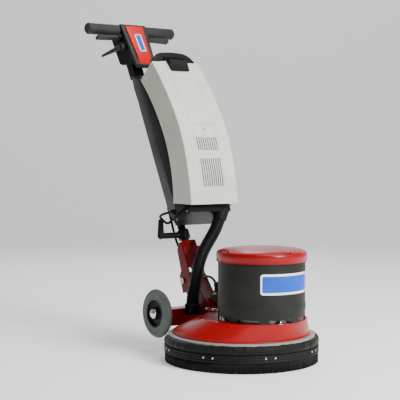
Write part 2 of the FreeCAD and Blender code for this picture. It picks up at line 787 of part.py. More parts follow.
def motor_stator():
    core = tube(frame_r - 4, stator_r_in, stator_z1 - stator_z0, V(motor_x, 0, stator_z0))
    coils = [tube(frame_r - 10, stator_r_in + 6, 12, V(motor_x, 0, z)) for z in (stator_z0 - 12, stator_z1)]
    return fuse([core] + coils)


def rotor_shaft():
    z0 = pinion_z0
    shaft = rod(shaft_r, 300 - z0, V(motor_x, 0, z0))
    return fuse([shaft, gear(module_1, pinion_teeth, motor_x, z0, z0 + 12, 0, 180)])


def rotor_core():
    return tube(stator_r_in - air_gap, shaft_r, stator_z1 - stator_z0, V(motor_x, 0, stator_z0))


def cooling_fan():
    z0 = frame_top + 6
    parts = [tube(20, shaft_r, 22, V(motor_x, 0, z0)), tube(fan_r, shaft_r, 3, V(motor_x, 0, z0))]
    for i in range(fan_blades):
        blade = block(19, fan_r - 2, -1.2, 1.2, z0 + 2, z0 + 22)
        blade.rotate(V(0, 0, 0), UP, i * 360 / fan_blades)
        blade.translate(V(motor_x, 0, 0))
        parts.append(blade)
    return fuse(parts)


# ---- gear case and drive ---------------------------------------------------------------
case_top = deck_top_z - deck_wall
gear_z0 = case_z0 + case_wall + 1
pinion_z0 = gear_z0 + 15.0
case_rear = -(module_2 * output_teeth / 2 + gear_clear)
case_front = motor_x + module_1 * pinion_teeth / 2 + gear_clear
case_half = module_2 * output_teeth / 2 + gear_clear


def gearbox_case():
    t = case_wall
    box = block(case_rear, case_front, -case_half, case_half, case_z0, case_top)
    room = block(case_rear + t, case_front - t, -case_half + t, case_half - t, case_z0 + t, case_top - t)
    boss = tube(spindle_r + bearing_wall + 4, spindle_r + bearing_wall, bearing_h, V(0, 0, case_z0 - 6))
    box = box.cut(room).fuse(boss)
    box = box.cut(rod(spindle_r + bearing_wall, bearing_h, V(0, 0, case_z0 - 6)))
    box = box.cut(rod(spindle_r + 2, 20, V(0, 0, case_z0 - 6)))
    box = box.cut(rod(shaft_r + 2, 20, V(motor_x, 0, case_top - 10)))
    stud = rod(6, case_top - case_z0 - t, V(idler_x, 0, case_z0 + t / 2))
    return box.fuse(stud).removeSplitter()


def bearings():
    races = []
    for z in (deck_top_z, frame_top - bearing_h):
        races.append(tube(shaft_r + bearing_wall, shaft_r + run_fit, bearing_h, V(motor_x, 0, z)))
    races.append(tube(spindle_r + bearing_wall, spindle_r + run_fit, bearing_h, V(0, 0, case_z0 - 6)))
    return Part.makeCompound(races)


def idler_gear():
    small = gear(module_2, step_teeth, idler_x, gear_z0, gear_z0 + 14, 0, 180)
    large = gear(module_1, wheel_teeth, idler_x, gear_z0 + 14, gear_z0 + 24, 0, 4.5)
    return fuse([small, large]).cut(rod(6 + run_fit, 60, V(idler_x, 0, case_z0)))


def output_gear():
    """Output wheel and brush spindle in one."""
    wheel = gear(module_2, output_teeth, 0, gear_z0, gear_z0 + 12, 0, 180 / output_teeth)
    top = brush_block_z0 + brush_block_t
    return fuse([wheel, rod(spindle_r, gear_z0 - top, V(0, 0, top))])


def drive_plate():
    top = brush_block_z0 + brush_block_t
    return tube(drive_plate_r, spindle_r, drive_plate_t, V(0, 0, top))


def brush_block():
    return tube(brush_r - 4, 30, brush_block_t, V(0, 0, brush_block_z0))


def brush_bristles():
    return tube(brush_r, brush_eye_r, brush_block_z0, V(0, 0, 0))


# ---- cable entry on the motor ----------------------------------------------------------
gland_x, gland_y, gland_z = motor_x - motor_r - 28.5, -48.0, 196.0


def cable_gland():
    """Black elbow on the motor cover with a tapered strain relief above its nut."""
    elbow = block(gland_x - 13, motor_x - (motor_r**2 - gland_y**2)**0.5 + 8, gland_y - 13, gland_y + 13,
                  gland_z - 20, gland_z)
    elbow = elbow.cut(rod(motor_r + cover_band, 100, V(motor_x, 0, gland_z - 50)))
    relief = Part.makeCone(9, cable_r + 2.5, 26, V(gland_x, gland_y, gland_z + 7), UP)
    relief = relief.cut(rod(cable_r, 8, V(gland_x, gland_y, cable_route[-1][2])))
    return Part.makeCompound([elbow, relief])


def gland_nut():
    outline = [(gland_x + 11 * cos(radians(k * 60)), gland_y + 11 * sin(radians(k * 60))) for k in range(6)]
    return flat_plate(outline, gland_z, gland_z + 7)


# ---- wheels ----------------------------------------------------------------------------
def wheel_part(outline, side):
    """Revolve an r-y outline about the axle; y is measured inward from the outer face."""
    points = [V(axle_x + r, wheel_out_y - inward, axle_z) for r, inward in outline]
    face = Part.Face(Part.makePolygon(points + [points[0]]))
    solid = face.revolve(V(axle_x, 0, axle_z), ACROSS, 360)
    return solid.mirror(V(0, 0, 0), ACROSS) if side < 0 else solid


def tyre(side):
    w = tyre_w
    return wheel_part([(hub_r, 4), (hub_r + 7, 3), (tyre_r - 9, 4), (tyre_r - 3, 8), (tyre_r, 13),
                       (tyre_r, w - 13), (tyre_r - 3, w - 8), (tyre_r - 9, w - 4), (hub_r + 7, w - 3),
                       (hub_r, w - 4)], side)


def hub(side):
    bore, w = axle_r + run_fit, tyre_w
    return wheel_part([(bore, 6), (18, 4), (20, 12), (hub_r - 6, 12), (hub_r - 5, 5), (hub_r, 4),
                       (hub_r, w - 4), (hub_r - 5, w - 5), (hub_r - 6, w - 12), (20, w - 12),
                       (18, w), (bore, w)], side)


def hub_cap(side):
    return wheel_part([(0, -8), (9, -6), (15, -0.5), (16, 4.5), (11, 5.75), (0, 5.75)], side)


NODES = {
    "deck_housing": deck_housing, "bumper_ring": bumper_ring, "skirt_fabric": skirt_fabric,
    "skirt_band": skirt_band, "skirt_bristles": skirt_bristles, "skirt_rivets": skirt_rivets,
    "axle_bracket": axle_bracket, "wheel_axle": wheel_axle, "hose_socket": hose_socket,
    "tilt_fork": tilt_fork, "fork_bolts": fork_bolts, "handle_channel": handle_channel,
    "pivot_pin": pivot_pin, "channel_bolts": channel_bolts, "pole_tube": pole_tube,
    "cord_hook": cord_hook, "head_housing": head_housing, "head_frame": head_frame,
    "head_cover": head_cover, "handle_grips": handle_grips, "release_lever": release_lever,
    "switch_lever_left": lambda: switch_lever(1), "switch_lever_right": lambda: switch_lever(-1),
    "safety_button": safety_button, "vac_upper_cover": vac_upper_cover,
    "vac_lower_cover": vac_lower_cover, "vac_shell_upper": vac_shell_upper,
    "vac_shell_lower": vac_shell_lower, "vac_brackets": vac_brackets, "carry_handle": carry_handle,
    "vac_latch": vac_latch, "vac_motor": vac_motor, "filter_bag": filter_bag, "hose_cuff": hose_cuff,
    "suction_hose": suction_hose, "motor_cable": motor_cable, "vacuum_lead": vacuum_lead,
    "motor_cover": motor_cover, "motor_lid": motor_lid, "lid_screws": lid_screws,
    "motor_frame": motor_frame, "motor_stator": motor_stator, "rotor_shaft": rotor_shaft,
    "rotor_core": rotor_core, "cooling_fan": cooling_fan, "gearbox_case": gearbox_case,
    "bearings": bearings, "idler_gear": idler_gear, "output_gear": output_gear,
    "drive_plate": drive_plate, "brush_block": brush_block, "brush_bristles": brush_bristles,
    "cable_gland": cable_gland, "gland_nut": gland_nut,
    "tyre_left": lambda: tyre(1), "tyre_right": lambda: tyre(-1),
    "hub_left": lambda: hub(1), "hub_right": lambda: hub(-1),
    "hub_cap_left": lambda: hub_cap(1), "hub_cap_right": lambda: hub_cap(-1),
}

os.makedirs("parts", exist_ok=True)
for name, make in NODES.items():
    shape = make()
    if not shape.isValid() or not shape.Solids:
        print("WARNING", name, "valid", shape.isValid(), "solids", len(shape.Solids))
    shape.exportStep("parts/" + name + ".step")
print(len(NODES), "nodes written")
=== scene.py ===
import bpy
import random
from math import cos, pi, radians, sin
from mathutils import Matrix, Vector, noise


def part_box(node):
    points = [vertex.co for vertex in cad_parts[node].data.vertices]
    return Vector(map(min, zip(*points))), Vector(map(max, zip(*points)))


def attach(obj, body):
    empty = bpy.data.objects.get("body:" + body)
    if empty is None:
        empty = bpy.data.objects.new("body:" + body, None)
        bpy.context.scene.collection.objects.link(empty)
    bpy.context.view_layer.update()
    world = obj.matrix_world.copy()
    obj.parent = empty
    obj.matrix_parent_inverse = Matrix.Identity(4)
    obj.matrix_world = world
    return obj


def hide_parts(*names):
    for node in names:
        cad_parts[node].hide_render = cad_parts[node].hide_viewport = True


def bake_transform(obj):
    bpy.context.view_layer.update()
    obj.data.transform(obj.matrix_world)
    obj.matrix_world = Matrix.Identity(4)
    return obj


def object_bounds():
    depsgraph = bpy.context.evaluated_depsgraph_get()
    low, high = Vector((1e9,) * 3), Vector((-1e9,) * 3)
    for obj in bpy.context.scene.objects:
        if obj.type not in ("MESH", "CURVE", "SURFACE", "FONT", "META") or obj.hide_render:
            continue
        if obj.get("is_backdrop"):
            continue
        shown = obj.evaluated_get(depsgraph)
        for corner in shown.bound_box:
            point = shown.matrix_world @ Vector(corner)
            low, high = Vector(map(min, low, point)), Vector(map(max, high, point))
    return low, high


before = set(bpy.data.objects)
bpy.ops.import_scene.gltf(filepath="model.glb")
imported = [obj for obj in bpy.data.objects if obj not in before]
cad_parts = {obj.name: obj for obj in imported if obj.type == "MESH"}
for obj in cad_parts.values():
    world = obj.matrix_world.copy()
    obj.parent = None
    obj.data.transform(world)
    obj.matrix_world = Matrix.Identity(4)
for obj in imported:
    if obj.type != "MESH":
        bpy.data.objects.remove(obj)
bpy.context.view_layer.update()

# Camera: in front of the machine and to its right, 3.3 m away at the height of the pole's middle,
# looking slightly down through a long lens.
stand = Vector((2.60015, -2.03143, 0.63786))
look_along = Vector((-0.81015, 0.58444, -0.04557))
camera = bpy.data.objects.new("camera", bpy.data.cameras.new("camera"))
camera.data.sensor_width, camera.data.lens = 36.0, 97.67
camera.location = stand
camera.rotation_euler = look_along.to_track_quat("-Z", "Y").to_euler()
bpy.context.scene.collection.objects.link(camera)
bpy.context.scene.camera = camera


# Cords: a ribbed suction hose from the tray down to the deck, the motor's cable from the pole to
# the gland, and the suction unit's lead looped over the cord hook. The hose is blown EVA; the
# cable and the lead have sheaths of flexible PVC.
def linear(code):
    """The linear colour of an sRGB hex value."""
    parts = [int(code[i:i + 2], 16) / 255 for i in (0, 2, 4)]
    return (*[c / 12.92 if c <= 0.04045 else ((c + 0.055) / 1.055) ** 2.4 for c in parts], 1.0)


def add(tree, kind, values=None, links=None):
    """Add a shader node, set its sockets or properties, and link its inputs."""
    made = tree.nodes.new("ShaderNode" + kind)
    for name, value in (values or {}).items():
        if isinstance(name, int) or name in made.inputs:
            made.inputs[name].default_value = value
        else:
            setattr(made, name, value)
    for name, socket in (links or {}).items():
        tree.links.new(made.inputs[name], socket)
    return made


def start_material(name, values):
    """A new material with its shader's own values set; returns it with its tree and shader."""
    material = bpy.data.materials.new(name)
    material.use_nodes = True
    tree = material.node_tree
    shader = tree.nodes["Principled BSDF"]
    for socket, value in values.items():
        shader.inputs[socket].default_value = value
    return material, tree, shader


def per_metre(size_mm):
    """Pattern scale that repeats about every size_mm."""
    return 1000.0 / size_mm


def moulded(name, deep, pale, roughness, grain_mm, relief_mm, values=None):
    """Moulded plastic or rubber: a spark-eroded tool leaves a fine grain, the flow of the melt
    leaves slow changes of tone, and handling leaves patches that shine a little more."""
    soft_shine = {"IOR": 1.45, "Specular IOR Level": 0.18}
    material, tree, shader = start_material(name, {**soft_shine, **(values or {})})
    place = add(tree, "TexCoord").outputs["Object"]
    flow = add(tree, "TexNoise", {"Scale": per_metre(70), "Detail": 4.0}, {"Vector": place})
    tone = add(tree, "ValToRGB", links={"Fac": flow.outputs["Fac"]})
    tone.color_ramp.elements[0].position, tone.color_ramp.elements[1].position = 0.32, 0.68
    tone.color_ramp.elements[0].color, tone.color_ramp.elements[1].color = linear(deep), linear(pale)
    tree.links.new(shader.inputs["Base Color"], tone.outputs["Color"])
    handled = add(tree, "TexNoise", {"Scale": per_metre(22), "Detail": 5.0}, {"Vector": place})
    shine = add(tree, "MapRange", {"To Min": roughness - 0.06, "To Max": roughness + 0.07},
                {"Value": handled.outputs["Fac"]})
    tree.links.new(shader.inputs["Roughness"], shine.outputs["Result"])
    grain = add(tree, "TexNoise", {"Scale": per_metre(grain_mm), "Detail": 2.0}, {"Vector": place})
    bump = add(tree, "Bump", {"Strength": 0.6, "Distance": relief_mm / 1000},
               {"Height": grain.outputs["Fac"]})
    tree.links.new(shader.inputs["Normal"], bump.outputs["Normal"])
    return material


def spline(name, points, radius=0.0):
    """One open smooth curve steered by its points and ending at the first and last of them."""
    data = bpy.data.curves.new(name, "CURVE")
    data.dimensions, data.bevel_depth, data.bevel_resolution = "3D", radius, 5
    data.use_fill_caps = radius > 0
    line = data.splines.new("NURBS")
    line.points.add(len(points) - 1)
    for knot, point in zip(line.points, points):
        knot.co = (*point, 1.0)
    line.order_u, line.use_endpoint_u, line.resolution_u = 3, True, 24
    made = bpy.data.objects.new(name, data)
    bpy.context.scene.collection.objects.link(made)
    return made


def followed(points):
    """Close points along the smooth curve that the control points steer."""
    guide = spline("guide", points)
    bpy.context.view_layer.update()
    drawn = bpy.data.meshes.new_from_object(guide.evaluated_get(bpy.context.evaluated_depsgraph_get()))
    path = [v.co.copy() for v in drawn.vertices]
    bpy.data.objects.remove(guide)
    bpy.data.meshes.remove(drawn)
    return path


def new_piece(name, corners, faces, material, smooth=True):
    """A mesh object with one material."""
    data = bpy.data.meshes.new(name)
    data.from_pydata([tuple(c) for c in corners], [], faces)
    data.materials.append(material)
    data.polygons.foreach_set("use_smooth", [smooth] * len(data.polygons))
    data.update()
    made = bpy.data.objects.new(name, data)
    bpy.context.scene.collection.objects.link(made)
    return made


def sweep(name, path, spacing, radius_at, sides, material):
    """A closed tube along the path whose radius follows the distance travelled."""
    distances = [0.0]
    for a, b in zip(path, path[1:]):
        distances.append(distances[-1] + (b - a).length)
    count = int(distances[-1] / spacing)
    corners, faces = [], []
    normal, at = None, 0
    for i in range(count + 1):
        s = distances[-1] * i / count
        while at < len(path) - 2 and distances[at + 1] < s:
            at += 1
        share = (s - distances[at]) / max(distances[at + 1] - distances[at], 1e-9)
        centre = path[at].lerp(path[at + 1], share)
        along = (path[min(at + 2, len(path) - 1)] - path[max(at - 1, 0)]).normalized()
        if normal is None:
            normal = along.orthogonal().normalized()
        normal = (normal - along * normal.dot(along)).normalized()
        other = along.cross(normal)
        for k in range(sides):
            turn = 2 * pi * k / sides
            corners.append(centre + (normal * cos(turn) + other * sin(turn)) * radius_at(s))
    for i in range(count):
        for k in range(sides):
            low, high = i * sides, (i + 1) * sides
            faces.append((low + k, low + (k + 1) % sides, high + (k + 1) % sides, high + k))
    faces.append(tuple(reversed(range(sides))))
    faces.append(tuple(range(count * sides, (count + 1) * sides)))
    return new_piece(name, corners, faces, material)


hose_route = [(-0.168, 0.043, 0.424), (-0.169, 0.034, 0.400), (-0.171, 0.022, 0.376),
              (-0.174, 0.003, 0.348), (-0.176, -0.015, 0.320), (-0.176, -0.030, 0.289),
              (-0.173, -0.041, 0.255), (-0.171, -0.050, 0.217), (-0.178, -0.058, 0.172),
              (-0.178, -0.058, 0.130)]
cable_route = [(-0.371, -0.019, 0.449), (-0.354, -0.019, 0.414), (-0.337, -0.021, 0.378),
               (-0.321, -0.021, 0.344), (-0.303, -0.017, 0.312), (-0.286, -0.008, 0.284),
               (-0.266, 0.000, 0.261), (-0.238, 0.003, 0.245), (-0.206, -0.002, 0.238),
               (-0.173, -0.012, 0.239), (-0.141, -0.026, 0.243), (-0.110, -0.037, 0.245),
               (-0.082, -0.045, 0.241), (-0.063, -0.048, 0.229)]
lead_route = [(-0.224, -0.082, 0.444), (-0.243, -0.091, 0.443), (-0.263, -0.096, 0.439),
              (-0.282, -0.098, 0.434), (-0.299, -0.096, 0.429), (-0.312, -0.090, 0.424),
              (-0.319, -0.079, 0.416), (-0.315, -0.071, 0.407), (-0.303, -0.068, 0.402),
              (-0.289, -0.068, 0.405), (-0.278, -0.066, 0.415), (-0.270, -0.061, 0.427)]
hose_r, rib_pitch, rib_depth = 0.020, 0.0066, 0.0016
cable_r, lead_r = 0.004, 0.0042

# EVA hose, blown into a corrugating mould: near black, a soft shine along the crest of each rib.
hose_black = moulded("corrugated_eva_hose", "050606", "0C0D0D", 0.4, 1.2, 0.05)
# PVC cable sheath, extruded: smooth and slightly dusty.
sheath_black = moulded("extruded_pvc_sheath", "0B0B0B", "161615", 0.5, 0.8, 0.03)


def rib_radius(s):
    wave = 0.5 + 0.5 * cos(2 * pi * s / rib_pitch)
    return hose_r - rib_depth * (1 - wave ** 0.6)


hose_path = followed(hose_route)
hose = sweep("ribbed_hose", hose_path, rib_pitch / 8, rib_radius, 40, hose_black)
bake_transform(hose)
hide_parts("suction_hose")

cable_path = followed(cable_route)
cable = sweep("motor_supply_cable", cable_path, 0.003, lambda s: cable_r, 20, sheath_black)
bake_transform(cable)
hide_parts("motor_cable")

lead = spline("suction_unit_lead", lead_route, lead_r)
lead.data.materials.append(sheath_black)
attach(lead, "handle")
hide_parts("vacuum_lead")


# Stage: a pale studio floor that runs up behind the machine, a soft key light in front, weaker
# ones overhead and behind, and an even surround. The floor glows faintly, as a lit backdrop does.
def stage_light(name, at, toward, size, power):
    made = bpy.data.objects.new(name, bpy.data.lights.new(name, "AREA"))
    made.data.shape, made.data.size, made.data.energy = "DISK", size, power
    made.location = at
    made.rotation_euler = (Vector(toward) - Vector(at)).to_track_quat("-Z", "Y").to_euler()
    bpy.context.scene.collection.objects.link(made)


stage_light("key", (3.2, 0.5, 1.9), (0.0, 0.0, 0.45), 1.3, 215)
stage_light("top", (0.5, 0.5, 3.2), (0.0, 0.0, 0.3), 1.6, 60)
stage_light("back", (-2.6, 1.2, 2.2), (0.0, 0.0, 0.5), 1.8, 30)
surround = bpy.data.worlds.new("studio")
surround.use_nodes = True
surround.node_tree.nodes["Background"].inputs["Color"].default_value = linear("F4F5F6")
surround.node_tree.nodes["Background"].inputs["Strength"].default_value = 0.3
bpy.context.scene.world = surround

floor_half, sweep_r, wall_top = 6.0, 2.0, 5.0
floor_rows = [(-floor_half, 0.0), (floor_half - sweep_r, 0.0)]
floor_rows += [(floor_half - sweep_r + sweep_r * sin(radians(t)), sweep_r - sweep_r * cos(radians(t)))
               for t in range(10, 91, 10)]
floor_rows.append((floor_half, wall_top))
away = Vector((look_along.x, look_along.y, 0)).normalized()
aside = away.cross(Vector((0, 0, 1)))
floor_corners = [away * d + aside * w + Vector((0, 0, z)) for d, z in floor_rows for w in (-9, 9)]
floor_faces = [(2 * i, 2 * i + 1, 2 * i + 3, 2 * i + 2) for i in range(len(floor_rows) - 1)]
studio_floor = moulded("painted_studio_floor", "F2F2F1", "F6F6F5", 0.8, 3.0, 0.02,
                       {"Emission Color": linear("FFFFFF"), "Emission Strength": 0.3})
floor = new_piece("studio_floor", floor_corners, floor_faces, studio_floor)
floor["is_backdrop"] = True


# Deck housing: pressed steel dome with a box-shaped rear boss, coated in glossy red enamel.
# Enamel shows a slight orange peel under soft highlights, and a film of dust dulls it in places.
def enamel(name, deep, bright, roughness, peel_mm=3.5):
    material, tree, shader = start_material(name, {"Coat Weight": 0.12, "Coat Roughness": 0.14,
                                                   "Specular IOR Level": 0.2})
    place = add(tree, "TexCoord").outputs["Object"]
    cloud = add(tree, "TexNoise", {"Scale": per_metre(130), "Detail": 3.0}, {"Vector": place})
    tone = add(tree, "ValToRGB", links={"Fac": cloud.outputs["Fac"]})
    tone.color_ramp.elements[0].position, tone.color_ramp.elements[1].position = 0.3, 0.7
    tone.color_ramp.elements[0].color, tone.color_ramp.elements[1].color = linear(deep), linear(bright)
    tree.links.new(shader.inputs["Base Color"], tone.outputs["Color"])
    dust = add(tree, "TexNoise", {"Scale": per_metre(14), "Detail": 6.0}, {"Vector": place})
    shine = add(tree, "MapRange", {"To Min": roughness - 0.05, "To Max": roughness + 0.09},
                {"Value": dust.outputs["Fac"]})
    tree.links.new(shader.inputs["Roughness"], shine.outputs["Result"])
    peel = add(tree, "TexNoise", {"Scale": per_metre(peel_mm), "Detail": 1.0}, {"Vector": place})
    bump = add(tree, "Bump", {"Strength": 0.3, "Distance": 0.00005}, {"Height": peel.outputs["Fac"]})
    tree.links.new(shader.inputs["Normal"], bump.outputs["Normal"])
    return material


def finish_node(material, width_mm, *names):
    """Give carried-over parts their finish and round their edges by the given width."""
    for name in names:
        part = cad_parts[name]
        part.data.materials.clear()
        part.data.materials.append(material)
        custom = part.data.attributes.get("custom_normal")
        if custom:
            part.data.attributes.remove(custom)
        for sharp in ("sharp_edge", "sharp_face"):
            if part.data.attributes.get(sharp):
                part.data.attributes.remove(part.data.attributes[sharp])
        part.data.polygons.foreach_set("use_smooth", [True] * len(part.data.polygons))
        weld = part.modifiers.new("weld", "WELD")
        weld.merge_threshold = 0.00002
        round_edges(part, width_mm)


def round_edges(part, width_mm, segments=2):
    """Bevel the sharp edges and let the flats keep flat shading."""
    bevel = part.modifiers.new("bevel", "BEVEL")
    bevel.width, bevel.segments = width_mm / 1000, segments
    bevel.limit_method, bevel.angle_limit = "ANGLE", radians(32)
    bevel.use_clamp_overlap = True
    part.modifiers.new("weighted", "WEIGHTED_NORMAL")


deck_red = enamel("gloss_red_enamel", "8E0208", "A0050B", 0.30)
finish_node(deck_red, 1.6, "deck_housing")

# Bumper ring: extruded grey PVC, bent round and pushed over the deck's rim. It is satin, with a
# fine grain.
ring_grey = moulded("extruded_grey_pvc", "80847C", "8E928A", 0.5, 1.6, 0.05)
finish_node(ring_grey, 1.2, "bumper_ring")


# Skirt: a puffed roll of black coated fabric under the ring. Its weave is drawn a little coarse so
# that it shows, and the roll wrinkles where it is gathered.
def turned_frame(node, axis_at):
    """A node's box corners in millimetres from an upright axis."""
    low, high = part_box(node)
    return (high.x - axis_at) * 1000, low.z * 1000, high.z * 1000


def woven(name, deep, pale, thread_mm):
    nap = {"Sheen Weight": 0.08, "Sheen Roughness": 0.5, "Specular IOR Level": 0.15}
    material, tree, shader = start_material(name, nap)
    place = add(tree, "TexCoord").outputs["Object"]
    cloud = add(tree, "TexNoise", {"Scale": per_metre(30), "Detail": 5.0}, {"Vector": place})
    tone = add(tree, "ValToRGB", links={"Fac": cloud.outputs["Fac"]})
    tone.color_ramp.elements[0].color, tone.color_ramp.elements[1].color = linear(deep), linear(pale)
    tree.links.new(shader.inputs["Base Color"], tone.outputs["Color"])
    shine = add(tree, "MapRange", {"To Min": 0.5, "To Max": 0.78}, {"Value": cloud.outputs["Fac"]})
    tree.links.new(shader.inputs["Roughness"], shine.outputs["Result"])
    warp = add(tree, "TexWave", {"Scale": per_metre(thread_mm) / 20, "bands_direction": "Z"},
               {"Vector": place})
    weft = add(tree, "TexVoronoi", {"Scale": per_metre(thread_mm)}, {"Vector": place})
    cloth = add(tree, "Math", {"operation": "ADD"},
                {0: warp.outputs["Fac"], 1: weft.outputs["Distance"]})
    bump = add(tree, "Bump", {"Strength": 0.5, "Distance": 0.0003}, {"Height": cloth.outputs["Value"]})
    tree.links.new(shader.inputs["Normal"], bump.outputs["Normal"])
    return material


skirt_black = woven("coated_woven_skirt", "070606", "141211", 1.4)
skirt_out, fabric_low, fabric_high = turned_frame("skirt_fabric", 0.0)


def puffed_ring(name, out, low, material, tyre_deg):
    """A closed, gathered roll that swells up outside the grey ring, and is pressed flat where a
    tyre stands over it."""
    section = [(-17, 0.4), (-12, 0.2), (-7, 0.2), (-3, 0.6), (-0.6, 2.4), (0.7, 5.5), (1.2, 9),
               (1.3, 12.5), (1.0, 16), (0.2, 19.4), (-1.3, 22.4), (-3.6, 24.8), (-6.4, 25.6),
               (-8.8, 24.4), (-10.2, 21.6), (-10.6, 18.6), (-12, 17.2), (-15, 17), (-17, 16.8)]
    around, tyre_reach = 540, radians(20)
    corners, faces = [], []
    for i in range(around):
        turn = 2 * pi * i / around
        apart = min(abs(abs(turn if turn < pi else turn - 2 * pi) - radians(tyre_deg)), pi)
        pressed = max(0.0, 1 - (apart / tyre_reach) ** 4)
        for k, (r, z) in enumerate(section):
            free = max(0.0, 1 - abs(k - 10) / 8) ** 0.6 * (1 - 0.8 * pressed)
            here = Vector((cos(turn) * 8, sin(turn) * 8, z / 30 + 0.4 * sin(5 * turn)))
            fold = noise.noise(here) + 0.7 * noise.noise(here * 2.9)
            pucker = noise.noise(Vector((cos(turn) * 40, sin(turn) * 40, z / 45)))
            r += out + free * (2.6 * fold + 1.3 * pucker - 0.9)
            lift = noise.noise(here * 1.7 + Vector((0, 0, 5)))
            z = low + z * (1 - 0.36 * pressed) + free * 2.0 * lift
            corners.append((r * cos(turn) / 1000, r * sin(turn) / 1000, z / 1000))
    count = len(section)
    for i in range(around):
        a, b = i * count, (i + 1) % around * count
        for k in range(count):
            faces.append((a + k, b + k, b + (k + 1) % count, a + (k + 1) % count))
    return new_piece(name, corners, faces, material)


skirt = puffed_ring("puffed_skirt", skirt_out, fabric_low + 0.5, skirt_black, 139)
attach(skirt, "deck")
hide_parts("skirt_fabric")


# Rubber band: ribbed black rubber strip pulled round the skirt and riveted through it. Old
# rubber is matte and greys a little with dust in its grooves.
def lathe(name, outline, place, material, body, sides=96, bevel_mm=0.0):
    """Turn a closed outline of (radius, height) in millimetres about place's own Z axis."""
    corners, rings, faces = [], [], []
    for r, h in outline:
        count = 1 if r < 1e-6 else sides
        rings.append([len(corners) + k for k in range(count)] * (sides if count == 1 else 1))
        for k in range(count):
            turn = 2 * pi * k / sides
            corners.append(place @ Vector((r * cos(turn) / 1000, r * sin(turn) / 1000, h / 1000)))
    closed = outline[0][0] > 1e-6 or outline[-1][0] > 1e-6
    for a, b in zip(rings, rings[1:] + (rings[:1] if closed else [])):
        for k in range(sides):
            ring = (a[k], a[(k + 1) % sides], b[(k + 1) % sides], b[k])
            face = tuple(dict.fromkeys(ring))
            if len(face) > 2:
                faces.append(face)
    made = new_piece(name, corners, faces, material)
    if bevel_mm:
        round_edges(made, bevel_mm)
    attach(made, body)
    return made


band_rubber = moulded("ribbed_black_rubber", "0A0A09", "171715", 0.56, 0.9, 0.06)
band_out, band_low, band_high = turned_frame("skirt_band", 0.0)
band_ribs, band_thick = 3, 5.0
pitch = (band_high - band_low) / band_ribs
band_outline = [(band_out - band_thick, band_low)]
for i in range(band_ribs):
    z = band_low + i * pitch
    band_outline += [(band_out - 1.8, z + 0.02 * pitch), (band_out - 0.3, z + 0.14 * pitch),
                     (band_out, z + 0.3 * pitch), (band_out, z + 0.72 * pitch),
                     (band_out - 0.3, z + 0.88 * pitch), (band_out - 1.8, z + 0.98 * pitch)]
band_outline.append((band_out - band_thick, band_high))
band = lathe("ribbed_band", band_outline, Matrix(), band_rubber, "deck", 240)
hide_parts("skirt_band")

# Rolled lip: the dome's edge turns out over the grey ring in a narrow red bead. It is rolled from
# the housing's own sheet and enamelled with it.
lip_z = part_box("bumper_ring")[1].z * 1000
lip_outline = [(206.6, lip_z + 0.2), (209.4, lip_z + 0.2), (210.6, lip_z + 1.2), (210.5, lip_z + 2.6),
               (209.2, lip_z + 3.6), (206.6, lip_z + 4.4)]
lip = lathe("rolled_lip", lip_outline, Matrix(), deck_red, "deck", 200)

# Band joint and rivets: a narrow overlap closes the band, and pairs of domed steel rivets hold
# it. The rivets are zinc plated and slightly dull.
plated = start_material("zinc_plated_steel", {"Metallic": 1.0})
plated_place = add(plated[1], "TexCoord").outputs["Object"]
bloom = add(plated[1], "TexNoise", {"Scale": per_metre(4), "Detail": 4.0}, {"Vector": plated_place})
plated_tone = add(plated[1], "ValToRGB", links={"Fac": bloom.outputs["Fac"]})
plated_tone.color_ramp.elements[0].color = linear("8E908E")
plated_tone.color_ramp.elements[1].color = linear("D4D6D3")
plated_rough = add(plated[1], "MapRange", {"To Min": 0.24, "To Max": 0.44}, {"Value": bloom.outputs["Fac"]})
plated[1].links.new(plated[2].inputs["Base Color"], plated_tone.outputs["Color"])
plated[1].links.new(plated[2].inputs["Roughness"], plated_rough.outputs["Result"])
plated_steel = plated[0]


def axis_frame(at, axis):
    """A frame at a point in metres whose Z runs along the axis."""
    turned = Vector(axis).to_track_quat("Z", "Y").to_matrix().to_4x4()
    return Matrix.Translation(Vector(at)) @ turned


rivet_pairs, rivet_offset_deg, first_rivet_deg = 8, 3.6, -62
rivet_z = (band_low + 0.62 * (band_high - band_low)) / 1000
rivet_outline = [(0, -1), (2.6, -1), (3.4, 0.1), (3.1, 0.9), (2.0, 1.6), (0.8, 1.9), (0, 1.95)]
for i in range(rivet_pairs):
    for side in (-1, 1):
        turn = radians(first_rivet_deg + i * 360 / rivet_pairs + side * rivet_offset_deg)
        out = Vector((cos(turn), sin(turn), 0))
        rivet = lathe(f"band_rivet_{i}_{'ab'[side > 0]}", rivet_outline,
                      axis_frame(out * (band_out / 1000) + Vector((0, 0, rivet_z)), out), plated_steel,
                      "deck", 20)
        if i == 0 and side < 0:
            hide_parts("skirt_rivets")


def patch(name, width, height, corner, thick, wrap, material, body, columns=40):
    """A thin plate with rounded corners, laid on a surface: wrap turns across, up and out
    distances in metres into a place."""
    corners, faces = [], []
    rows = 8
    for layer in (0.0, thick):
        for i in range(columns + 1):
            u = -width / 2 + width * (0.5 - 0.5 * cos(pi * i / columns))
            past = max(0.0, abs(u) - (width / 2 - corner))
            half = height / 2 - corner + (max(corner ** 2 - past ** 2, 0.0)) ** 0.5
            for k in range(rows + 1):
                corners.append(wrap(u, half * (2 * k / rows - 1), layer))
    step, back = rows + 1, (columns + 1) * (rows + 1)
    for i in range(columns):
        for k in range(rows):
            a = i * step + k
            faces.append((a, a + 1, a + step + 1, a + step))
            faces.append((back + a, back + a + step, back + a + step + 1, back + a + 1))
        for k in (0, rows):
            a = i * step + k
            face = (a, a + step, back + a + step, back + a)
            faces.append(face if k == 0 else face[::-1])
    for i in (0, columns):
        for k in range(rows):
            a = i * step + k
            face = (a, back + a, back + a + 1, a + 1)
            faces.append(face if i == 0 else face[::-1])
    made = new_piece(name, corners, faces, material)
    made.modifiers.new("weighted", "WEIGHTED_NORMAL")
    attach(made, body)
    return made


